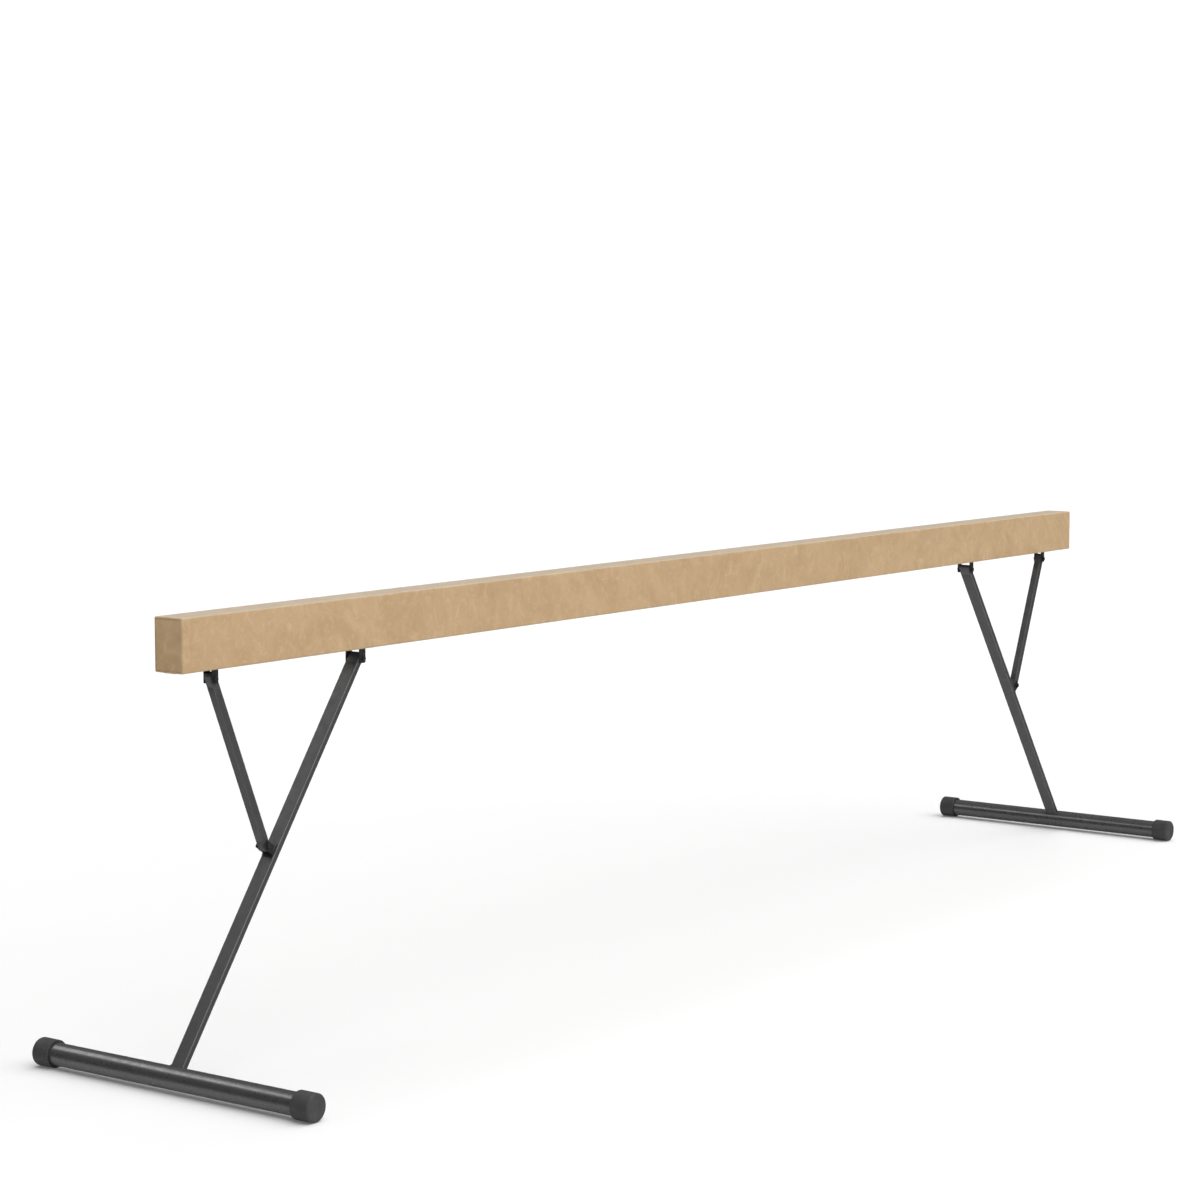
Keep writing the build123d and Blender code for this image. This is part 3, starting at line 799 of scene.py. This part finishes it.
def make_end_panel(name, side):
    """Suede end panel, sewn inside the turned edges of the sleeve and slightly domed."""
    width = BEAM_WIDTH - 2 * (END_TURN + PANEL_GAP)
    depth = BEAM_DEPTH - 2 * (END_TURN + PANEL_GAP)
    rings = []
    for inset, back in PANEL_DOME:
        corner = max(PANEL_LEAST_CORNER, PANEL_CORNER - inset)
        outline = rounded_rect(
            width - 2 * inset, depth - 2 * inset, corner, PANEL_CORNER_STEPS, SKIN_CUTS
        )
        rings.append([Vector((side * (BEAM_END - back), u, BEAM_MIDDLE_Z + v)) for u, v in outline])
    seat = side * (BEAM_END - COVER_THICK - PANEL_SEAT)
    rings.insert(0, [Vector((seat, point.y, point.z)) for point in rings[0]])
    panel = add_piece(
        f"{name}_end_panel", *skin(rings), SUEDE, "beam", "suede", [f"{name}_end_cover"], crease=60.0
    )


def make_stitches(name, side):
    """Row of lock stitches round the end panel."""
    inset = END_TURN + STITCH_INSET
    width, depth = BEAM_WIDTH - 2 * inset, BEAM_DEPTH - 2 * inset
    outline = rounded_rect(width, depth, STITCH_CORNER, 1, STITCH_CUTS)
    parts = []
    for i, here in enumerate(outline):
        there = outline[(i + 1) % len(outline)]
        length = math.dist(here, there)
        direction = Vector((0, there[0] - here[0], there[1] - here[1])).normalized()
        middle = Vector((
            side * (BEAM_END - STITCH_SINK),
            (here[0] + there[0]) / 2,
            BEAM_MIDDLE_Z + (here[1] + there[1]) / 2,
        ))
        profile = [(radius, STITCH_HALF * length * share) for radius, share in STITCH_SHAPE]
        parts.append(lathe(profile, middle, direction, STITCH_SIDES))
    add_piece(f"{name}_end_stitches", *joined(parts), THREAD, "beam", "suede", crease=80.0)


def make_pad(node):
    """Foam pad with eased edges in place of its plain CAD solid."""
    low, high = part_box(node)
    size = high - low
    middle = (low + high) / 2
    ease = THIN_PAD_EASE if min(size) < THIN_PAD else PAD_EASE
    some = PAD_EASE_MIDDLE * ease
    steps = (
        (ease, low.x), (some, low.x + some), (0, low.x + ease),
        (0, high.x - ease), (some, high.x - some), (ease, high.x),
    )
    rings = []
    for pull, x in steps:
        shrink = 2 * (pull + PAD_PLAY)
        outline = rounded_rect(size.y - shrink, size.z - shrink, ease, PAD_CORNER_STEPS)
        rings.append([Vector((x, middle.y + u, middle.z + v)) for u, v in outline])
    pad = add_piece(f"{node}_pad", *skin(rings), FOAM, "beam", "foam", [node], crease=50.0)


def make_strip():
    """Closing tape under the beam: five runs with turned, slightly thicker edges."""
    low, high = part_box("underside_strip")
    half = (high.y - low.y) / 2
    top = high.z - TAPE_PLAY
    runs = strip_runs()
    parts = []
    for start, end in runs:
        stations = max(2, round((end - start) / TAPE_STEP))
        rings = []
        for i in range(stations + 1):
            x = start + (end - start) * i / stations
            sag = TAPE_SAG * noise.noise(Vector((x * TAPE_WAVES, TAPE_NOISE_ROW, 0.0)))
            lift = TAPE_END_LIFT if i in (0, stations) else 0.0
            profile = [(-half, top)]
            profile += [(-half + inward, low.z + up) for inward, up in TAPE_HEM]
            profile += [(0.0, low.z + TAPE_BELLY + sag)]
            profile += [(half - inward, low.z + up) for inward, up in reversed(TAPE_HEM)]
            profile += [(half, top)]
            rings.append([
                Vector((x, y, z + lift * (high.z - z) / (high.z - low.z))) for y, z in profile
            ])
        parts.append(skin(rings))
    strip = add_piece(
        "closing_tape", *joined(parts), STRIP, "beam", "closing_strip", ["underside_strip"], crease=50.0
    )


def strip_runs():
    """Start and end of each run of the closing tape, from its CAD solids."""
    xs = sorted({round(v.co.x, 4) for v in frame["nodes"]["underside_strip"].data.vertices})
    return [(xs[i], xs[i + 1]) for i in range(0, len(xs) - 1, 2)]


# ---------------------------------------------------------------- legs and braces


def leg_member(name, side):
    foot_low, foot_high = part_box(f"{name}_floor_tube")
    foot = (foot_low + foot_high) / 2
    return Member(JOINTS[f"{name}_leg_fold"]["pos_m"], (foot.x, 0, foot.z), side)


def brace_member(name, side):
    return Member(JOINTS[f"{name}_brace_fold"]["pos_m"], bolt_middle(f"{name}_clevis_bolt"), side)


def corner_wear_and_highlight(outline, width, depth, corner, most, ring_count):
    """Share of rubbed paint and painted highlight of each vertex of a lofted tube: most amid its rounded corners,
    none on its flats.
    """
    deepest = corner * (1 - math.sqrt(0.5))
    one = [most * min(width / 2 - abs(u), depth / 2 - abs(v)) / deepest for u, v in outline]
    return one * ring_count


def make_leg_tube(name, side):
    """Flat tube with rounded corners, cut to a saddle on the floor tube."""
    leg = leg_member(name, side)
    low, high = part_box(f"{name}_leg_tube")
    width = high.y - low.y
    floor_r = tube_radius(name)
    outline = rounded_rect(width, LEG_DEPTH, LEG_CORNER, cuts=LEG_CUTS)
    shrink_u, shrink_v = 1 - 2 * JOINT_GROOVE / width, 1 - 2 * JOINT_GROOVE / LEG_DEPTH
    start = FITTING_BODY + GROOVE_RUN
    end = leg.length - floor_r - SADDLE_RUN
    rings = [[leg.at(FITTING_BODY, v * shrink_v, u * shrink_u) for u, v in outline]]
    for i in range(LEG_STATIONS + 1):
        along = start + (end - start) * i / LEG_STATIONS
        rings.append([leg.at(along, v, u) for u, v in outline])
    rings.append([leg.at(leg.length - math.sqrt(floor_r ** 2 - v ** 2), v, u) for u, v in outline])
    add_piece(
        f"{name}_leg_post", *skin(rings), TUBE_PAINT, f"{name}_leg", "tube_steel", [f"{name}_leg_tube"],
        wear_and_highlight=corner_wear_and_highlight(outline, width, LEG_DEPTH, LEG_CORNER, LEG_WEAR_AND_HIGHLIGHT, len(rings)),
    )


def make_brace_tube(name, side):
    """Square tube with rounded corners between the brace's end fittings."""
    brace = brace_member(name, side)
    low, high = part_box(f"{name}_brace_tube")
    size = high.y - low.y
    outline = rounded_rect(size, size, BRACE_CORNER, cuts=BRACE_CUTS)
    shrink = 1 - 2 * JOINT_GROOVE / size
    start, end = FITTING_BODY, brace.length - FITTING_BODY
    rings = [[brace.at(start, v * shrink, u * shrink) for u, v in outline]]
    for i in range(BRACE_STATIONS + 1):
        along = start + GROOVE_RUN + (end - start - 2 * GROOVE_RUN) * i / BRACE_STATIONS
        rings.append([brace.at(along, v, u) for u, v in outline])
    rings.append([brace.at(end, v * shrink, u * shrink) for u, v in outline])
    add_piece(
        f"{name}_brace_post", *skin(rings), TUBE_PAINT, f"{name}_brace", "tube_steel",
        [f"{name}_brace_tube"],
        wear_and_highlight=corner_wear_and_highlight(outline, size, size, BRACE_CORNER, BRACE_WEAR_AND_HIGHLIGHT, len(rings)),
    )


def bead(path, radius, ripple, normals):
    """Weld bead: a rippled tube along a closed path."""
    rings = []
    for i, point in enumerate(path):
        tangent = (path[(i + 1) % len(path)] - path[i - 1]).normalized()
        up = (normals[i] - tangent * normals[i].dot(tangent)).normalized()
        beside = tangent.cross(up)
        swell = radius * (1 + ripple * math.sin(i * 2 * math.pi / RIPPLE_POINTS))
        swell *= 1 + BEAD_UNEVEN * noise.noise(point * BEAD_UNEVEN_SCALE)
        angles = [2 * math.pi * j / BEAD_SIDES for j in range(BEAD_SIDES)]
        rings.append([point + (up * math.cos(a) + beside * math.sin(a)) * swell for a in angles])
    return skin(rings, cyclic=True)


def make_foot_weld(name, side):
    """Bead where the leg stands on the floor tube."""
    leg = leg_member(name, side)
    low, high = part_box(f"{name}_leg_tube")
    off = FOOT_BEAD_OFF_LEG
    reach = tube_radius(name) + FOOT_BEAD_OFF_TUBE
    width, depth = high.y - low.y + 2 * off, LEG_DEPTH + 2 * off
    outline = rounded_rect(width, depth, LEG_CORNER + off, BEAD_CORNER_STEPS, FOOT_BEAD_CUTS)
    path = [leg.at(leg.length - math.sqrt(reach ** 2 - v ** 2), v, u) for u, v in outline]
    normals = [(leg.outward * v + ACROSS * u - leg.along * BEAD_LEAN).normalized() for u, v in outline]
    add_piece(
        f"{name}_foot_weld", *bead(path, FOOT_BEAD_R, FOOT_BEAD_RIPPLE, normals), TUBE_PAINT,
        f"{name}_leg", "tube_steel", crease=70.0,
    )


def make_clevis_weld(name, side):
    """Bead round the clevis plate on the leg's outer face."""
    leg = leg_member(name, side)
    brace = brace_member(name, side)
    station = (brace.at(brace.length, 0, 0) - leg.origin).dot(leg.along)
    low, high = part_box(f"{name}_leg_clevis")
    off = CLEVIS_BEAD_OFF
    length, width = CLEVIS_PLATE + 2 * off, high.y - low.y + 2 * off
    outline = rounded_rect(length, width, CLEVIS_BEAD_CORNER, BEAD_CORNER_STEPS, CLEVIS_BEAD_CUTS)
    path = [leg.at(station + u, LEG_DEPTH / 2 + off, v) for u, v in outline]
    normals = [(leg.along * u + ACROSS * v + leg.outward * BEAD_LEAN).normalized() for u, v in outline]
    add_piece(
        f"{name}_clevis_weld", *bead(path, CLEVIS_BEAD_R, CLEVIS_BEAD_RIPPLE, normals), BRACKET_PAINT,
        f"{name}_leg", "bracket_steel", crease=70.0,
    )


def make_floor_tube(name):
    """Round floor tube with a wall, open at both ends inside the caps."""
    low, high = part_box(f"{name}_floor_tube")
    radius = tube_radius(name)
    bore = radius - TUBE_WALL
    half = (high.y - low.y) / 2
    start, run = -half + TUBE_EASE, 2 * half - 2 * TUBE_EASE
    profile = [(radius - TUBE_EASE, -half)]
    profile += [(radius, start + run * i / TUBE_STATIONS) for i in range(TUBE_STATIONS + 1)]
    profile += [(radius - TUBE_EASE, half), (bore, half), (bore, -half)]
    add_piece(
        f"{name}_floor_bar", *lathe(profile, (low + high) / 2, ACROSS, ROUND_STEPS, cyclic=True),
        FLOOR_PAINT, f"{name}_leg", "floor_tube_steel", [f"{name}_floor_tube"],
    )


def make_floor_cap(name, where, toward):
    """Rubber cap: rounded outer edge, faint mould line, lipped mouth and a real bore."""
    node = f"{name}_{where}_floor_cap"
    low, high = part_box(node)
    radius = (high.z - low.z) / 2
    length = high.y - low.y
    bore = tube_radius(name) + CAP_PLAY
    outer_face = (low + high) / 2 + ACROSS * (toward * length / 2)
    flat = radius - CAP_EDGE
    line = MOULD_LINE * length
    groove = radius - MOULD_DEPTH
    profile = [(TIP, CAP_DISH)]
    profile += [(share * flat, depth) for share, depth in CAP_DISH_STEPS]
    profile += arc((flat, CAP_EDGE), CAP_EDGE, -90, 0, 10)
    profile += [(radius, line - MOULD_FADE), (groove, line - MOULD_HALF)]
    profile += [(groove, line + MOULD_HALF), (radius, line + MOULD_FADE)]
    profile += arc((radius - CAP_RIM, length - CAP_RIM), CAP_RIM, 0, 90, 6)
    profile += [(bore + out, length - inward) for out, inward in CAP_MOUTH]
    profile += [(bore, CAP_END_WALL), (TIP, CAP_END_WALL)]
    add_piece(
        f"{name}_{where}_rubber_cap", *lathe(profile, outer_face, (0, -toward, 0), ROUND_STEPS),
        RUBBER, f"{name}_leg", "rubber_cap", [node], crease=40.0,
    )


def hex_solid(seat, axis, height, bore=0.0, both_bevelled=False):
    """Hexagon head or nut with conical bevels, standing on seat along axis."""
    axis = Vector(axis)
    up = Vector((0, 0, 1))
    beside = axis.cross(up)
    apothem = HEX_FLATS / 2
    bevel = HEX_BEVEL * apothem
    top = seat + axis * height
    angles = [2 * math.pi * i / HEX_STEPS for i in range(HEX_STEPS)]

    def circle(radius, centre):
        return [centre + (up * math.cos(a) + beside * math.sin(a)) * radius for a in angles]

    def hexagon(centre, slope):
        """Hexagon whose outline drops by slope beyond the bevel's circle."""
        ring = []
        for a in angles:
            reach = apothem / math.cos((a + math.pi / 6) % (math.pi / 3) - math.pi / 6)
            drop = max(0.0, reach - bevel) * slope
            ring.append(centre + (up * math.cos(a) + beside * math.sin(a)) * reach - axis * drop)
        return ring

    rings = [circle(bore or TIP, seat)]
    if both_bevelled:
        rings += [circle(bevel, seat), hexagon(seat, -HEX_SLOPE)]
    else:
        face = seat + axis * HEAD_FACE_HEIGHT
        face_r = HEAD_FACE * apothem
        rings += [circle(face_r, seat), circle(face_r, face), hexagon(face, 0.0)]
    rings += [hexagon(top, HEX_SLOPE), circle(bevel, top)]
    if bore:
        rings += [circle(bore + NUT_COUNTERSINK, top), circle(bore, top - axis * NUT_COUNTERSINK)]
        return skin(rings, cyclic=True)
    crown = top + axis * HEAD_CROWN_HEIGHT
    rings += [circle(HEAD_CROWN * apothem, crown), circle(TIP, crown)]
    return skin(rings)


def make_bolt(name, node, body):
    """Hexagon bolt with a bevelled head and a threaded tail."""
    low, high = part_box(node)
    seat = bolt_middle(node) + ACROSS * (low.y + HEAD_HEIGHT)
    head = hex_solid(seat, (0, -1, 0), HEAD_HEIGHT)
    length = high.y - seat.y
    thread_start = length - BOLT_THREAD
    profile = [(BOLT_R, 0.0), (BOLT_R, thread_start)]
    for i in range(int((BOLT_THREAD - THREAD_RUNOUT) / THREAD_PITCH)):
        start = thread_start + i * THREAD_PITCH
        profile += [
            (BOLT_R - THREAD_DEPTH, start + THREAD_ROOT * THREAD_PITCH),
            (BOLT_R, start + THREAD_CREST * THREAD_PITCH),
            (BOLT_R, start + THREAD_PITCH),
        ]
    profile += [(BOLT_R - BOLT_POINT, length), (TIP, length)]
    shank = lathe(profile, seat, ACROSS, BOLT_STEPS)
    add_piece(name, *joined([head, shank]), FASTENER, body, "fastener", [node], crease=28.0)


def make_nuts(name, node, bolts, body):
    """Hexagon nuts on the tails of the named bolts."""
    parts = []
    for bolt in bolts:
        seat = bolt_middle(bolt)
        seat.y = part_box(bolt)[1].y - BOLT_TAIL - NUT_HEIGHT
        parts.append(hex_solid(seat, ACROSS, NUT_HEIGHT, BOLT_R, both_bevelled=True))
    add_piece(name, *joined(parts), FASTENER, body, "fastener", [node], crease=28.0)


def make_washers(name, node, bolts, body):
    """Punched washers with one rounded and one sharp edge, under each head and each nut."""
    profile = [
        (WASHER_BORE_R, 0.0),
        (WASHER_R - WASHER_ROUND, 0.0),
        (WASHER_R - WASHER_HALF_ROUND, WASHER_HALF_ROUND),
        (WASHER_R, WASHER_ROUND),
        (WASHER_R, WASHER_THICK),
        (WASHER_BORE_R, WASHER_THICK),
    ]
    parts = []
    for bolt in bolts:
        low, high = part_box(bolt)
        for seat_y, toward in ((low.y + HEAD_HEIGHT, 1), (high.y - BOLT_TAIL - NUT_HEIGHT, -1)):
            seat = bolt_middle(bolt)
            seat.y = seat_y
            parts.append(lathe(profile, seat, (0, toward, 0), WASHER_STEPS, cyclic=True))
    add_piece(name, *joined(parts), FASTENER, body, "fastener", [node], crease=28.0)


# ---------------------------------------------------------------- stage


def make_floor():
    corners = ((-1, -1), (1, -1), (1, 1), (-1, 1))
    verts = [(FLOOR_HALF * x, FLOOR_HALF * y, 0) for x, y in corners]
    mesh = bpy.data.meshes.new("floor")
    mesh.from_pydata(verts, [], [(0, 1, 2, 3)])
    mesh.materials.append(FLOOR)
    floor = bpy.data.objects.new("floor", mesh)
    bpy.context.scene.collection.objects.link(floor)


def look_along(light, direction):
    """Turn a light so that it shines along direction."""
    light.rotation_euler = Vector(direction).to_track_quat("-Z", "Y").to_euler()


def make_soft_sun():
    """One broad overhead light, as from a large diffuser, that gloss doesn't show."""
    data = bpy.data.lights.new("diffuser", "SUN")
    data.energy = SUN_POWER
    data.angle = SUN_SPREAD
    light = bpy.data.objects.new("diffuser", data)
    light.visible_glossy = False
    look_along(light, [-c for c in SUN_FROM])
    bpy.context.scene.collection.objects.link(light)


def make_softbox(name, place, target, size, power):
    """Softbox that shows only as a highlight on gloss and sheen."""
    data = bpy.data.lights.new(name, "AREA")
    data.shape = "RECTANGLE"
    data.size, data.size_y = size
    data.energy = power
    light = bpy.data.objects.new(name, data)
    light.location = place
    look_along(light, Vector(target) - Vector(place))
    light.visible_diffuse = False
    bpy.context.scene.collection.objects.link(light)


def make_world():
    """White where the camera looks past the object, dim and even as light, shaped as reflection."""
    world = bpy.data.worlds.new("studio")
    bpy.context.scene.world = world
    world.use_nodes = True
    tree = world.node_tree
    rays = tree.nodes.new("ShaderNodeLightPath")
    axes = tree.nodes.new("ShaderNodeSeparateXYZ")
    tree.links.new(tree.nodes.new("ShaderNodeTexCoord").outputs["Generated"], axes.inputs["Vector"])

    def ramp(value, span, first, second):
        """first up to the span's start, second from its end on. Both may be sockets."""
        node = tree.nodes.new("ShaderNodeMapRange")
        node.inputs["From Min"].default_value, node.inputs["From Max"].default_value = span
        for key, number in (("To Min", first), ("To Max", second)):
            if isinstance(number, float):
                node.inputs[key].default_value = number
            else:
                tree.links.new(number, node.inputs[key])
        tree.links.new(value, node.inputs["Value"])
        return node.outputs["Result"]

    lower = ramp(axes.outputs["Z"], FLOOR_TO_WALL, REFLECT_FLOOR, REFLECT_WALL)
    reflected = ramp(axes.outputs["Z"], WALL_TO_CEILING, lower, REFLECT_CEILING)
    strength = ramp(rays.outputs["Is Glossy Ray"], (0.0, 1.0), AMBIENT, reflected)
    strength = ramp(rays.outputs["Is Camera Ray"], (0.0, 1.0), strength, BACKDROP)
    background = tree.nodes["Background"]
    background.inputs["Color"].default_value = (1.0, 1.0, 1.0, 1.0)
    tree.links.new(strength, background.inputs["Strength"])


def make_camera():
    data = bpy.data.cameras.new("camera")
    data.sensor_width = CAMERA_SENSOR
    data.lens = CAMERA_LENS
    data.clip_end = CAMERA_REACH
    camera = bpy.data.objects.new("camera", data)
    camera.location = CAMERA_PLACE
    look = Vector((
        math.cos(CAMERA_HEADING) * math.cos(CAMERA_TILT),
        math.sin(CAMERA_HEADING) * math.cos(CAMERA_TILT),
        -math.sin(CAMERA_TILT),
    ))
    camera.rotation_euler = look.to_track_quat("-Z", "Y").to_euler()
    bpy.context.scene.collection.objects.link(camera)
    bpy.context.scene.camera = camera


make_camera()
dress_cad_nodes()
make_sleeve()
make_strip()
for pad in PADS:
    make_pad(pad)
for board in BOARDS:
    make_eased(board, TIMBER, "beam")
for side_name, side_sign in SIDES:
    leg_body, brace_body = f"{side_name}_leg", f"{side_name}_brace"
    for kind, material, body, slot, ease in (
        ("leg_bracket", BRACKET_PAINT, "beam", "bracket_steel", EDGE_EASE),
        ("brace_bracket", BRACKET_PAINT, "beam", "bracket_steel", EDGE_EASE),
        ("bracket_screws", FASTENER, "beam", "fastener", SMALL_EASE),
        ("leg_clevis", BRACKET_PAINT, leg_body, "bracket_steel", EDGE_EASE),
        ("leg_head", TUBE_PAINT, leg_body, "tube_steel", EDGE_EASE),
        ("brace_head", TUBE_PAINT, brace_body, "tube_steel", EDGE_EASE),
        ("brace_toe", TUBE_PAINT, brace_body, "tube_steel", EDGE_EASE),
        ("leg_bush", BUSH, leg_body, "bush", SMALL_EASE),
        ("brace_bush", BUSH, brace_body, "bush", SMALL_EASE),
    ):
        make_eased(f"{side_name}_{kind}", material, body, ease)
    make_end_panel(side_name, side_sign)
    make_stitches(side_name, side_sign)
    make_leg_tube(side_name, side_sign)
    make_brace_tube(side_name, side_sign)
    make_foot_weld(side_name, side_sign)
    make_clevis_weld(side_name, side_sign)
    make_floor_tube(side_name)
    make_floor_cap(side_name, "front", -1)
    make_floor_cap(side_name, "back", 1)
    beam_bolts = [f"{side_name}_leg_pivot_bolt", f"{side_name}_brace_pivot_bolt"]
    clevis_bolt = f"{side_name}_clevis_bolt"
    for bolt in beam_bolts:
        make_bolt(f"{bolt}_threaded", bolt, "beam")
    make_bolt(f"{clevis_bolt}_threaded", clevis_bolt, leg_body)
    make_nuts(f"{side_name}_hexagon_nuts", f"{side_name}_pivot_nuts", beam_bolts, "beam")
    make_nuts(f"{side_name}_clevis_hexagon_nut", f"{side_name}_clevis_nut", [clevis_bolt], leg_body)
    make_washers(f"{side_name}_punched_washers", f"{side_name}_pivot_washers", beam_bolts, "beam")
    make_washers(
        f"{side_name}_clevis_punched_washers", f"{side_name}_clevis_washers", [clevis_bolt], leg_body
    )

make_floor()
make_world()
make_soft_sun()
for softbox in SOFTBOXES:
    make_softbox(*softbox)
bpy.context.scene.view_settings.view_transform = "Standard"
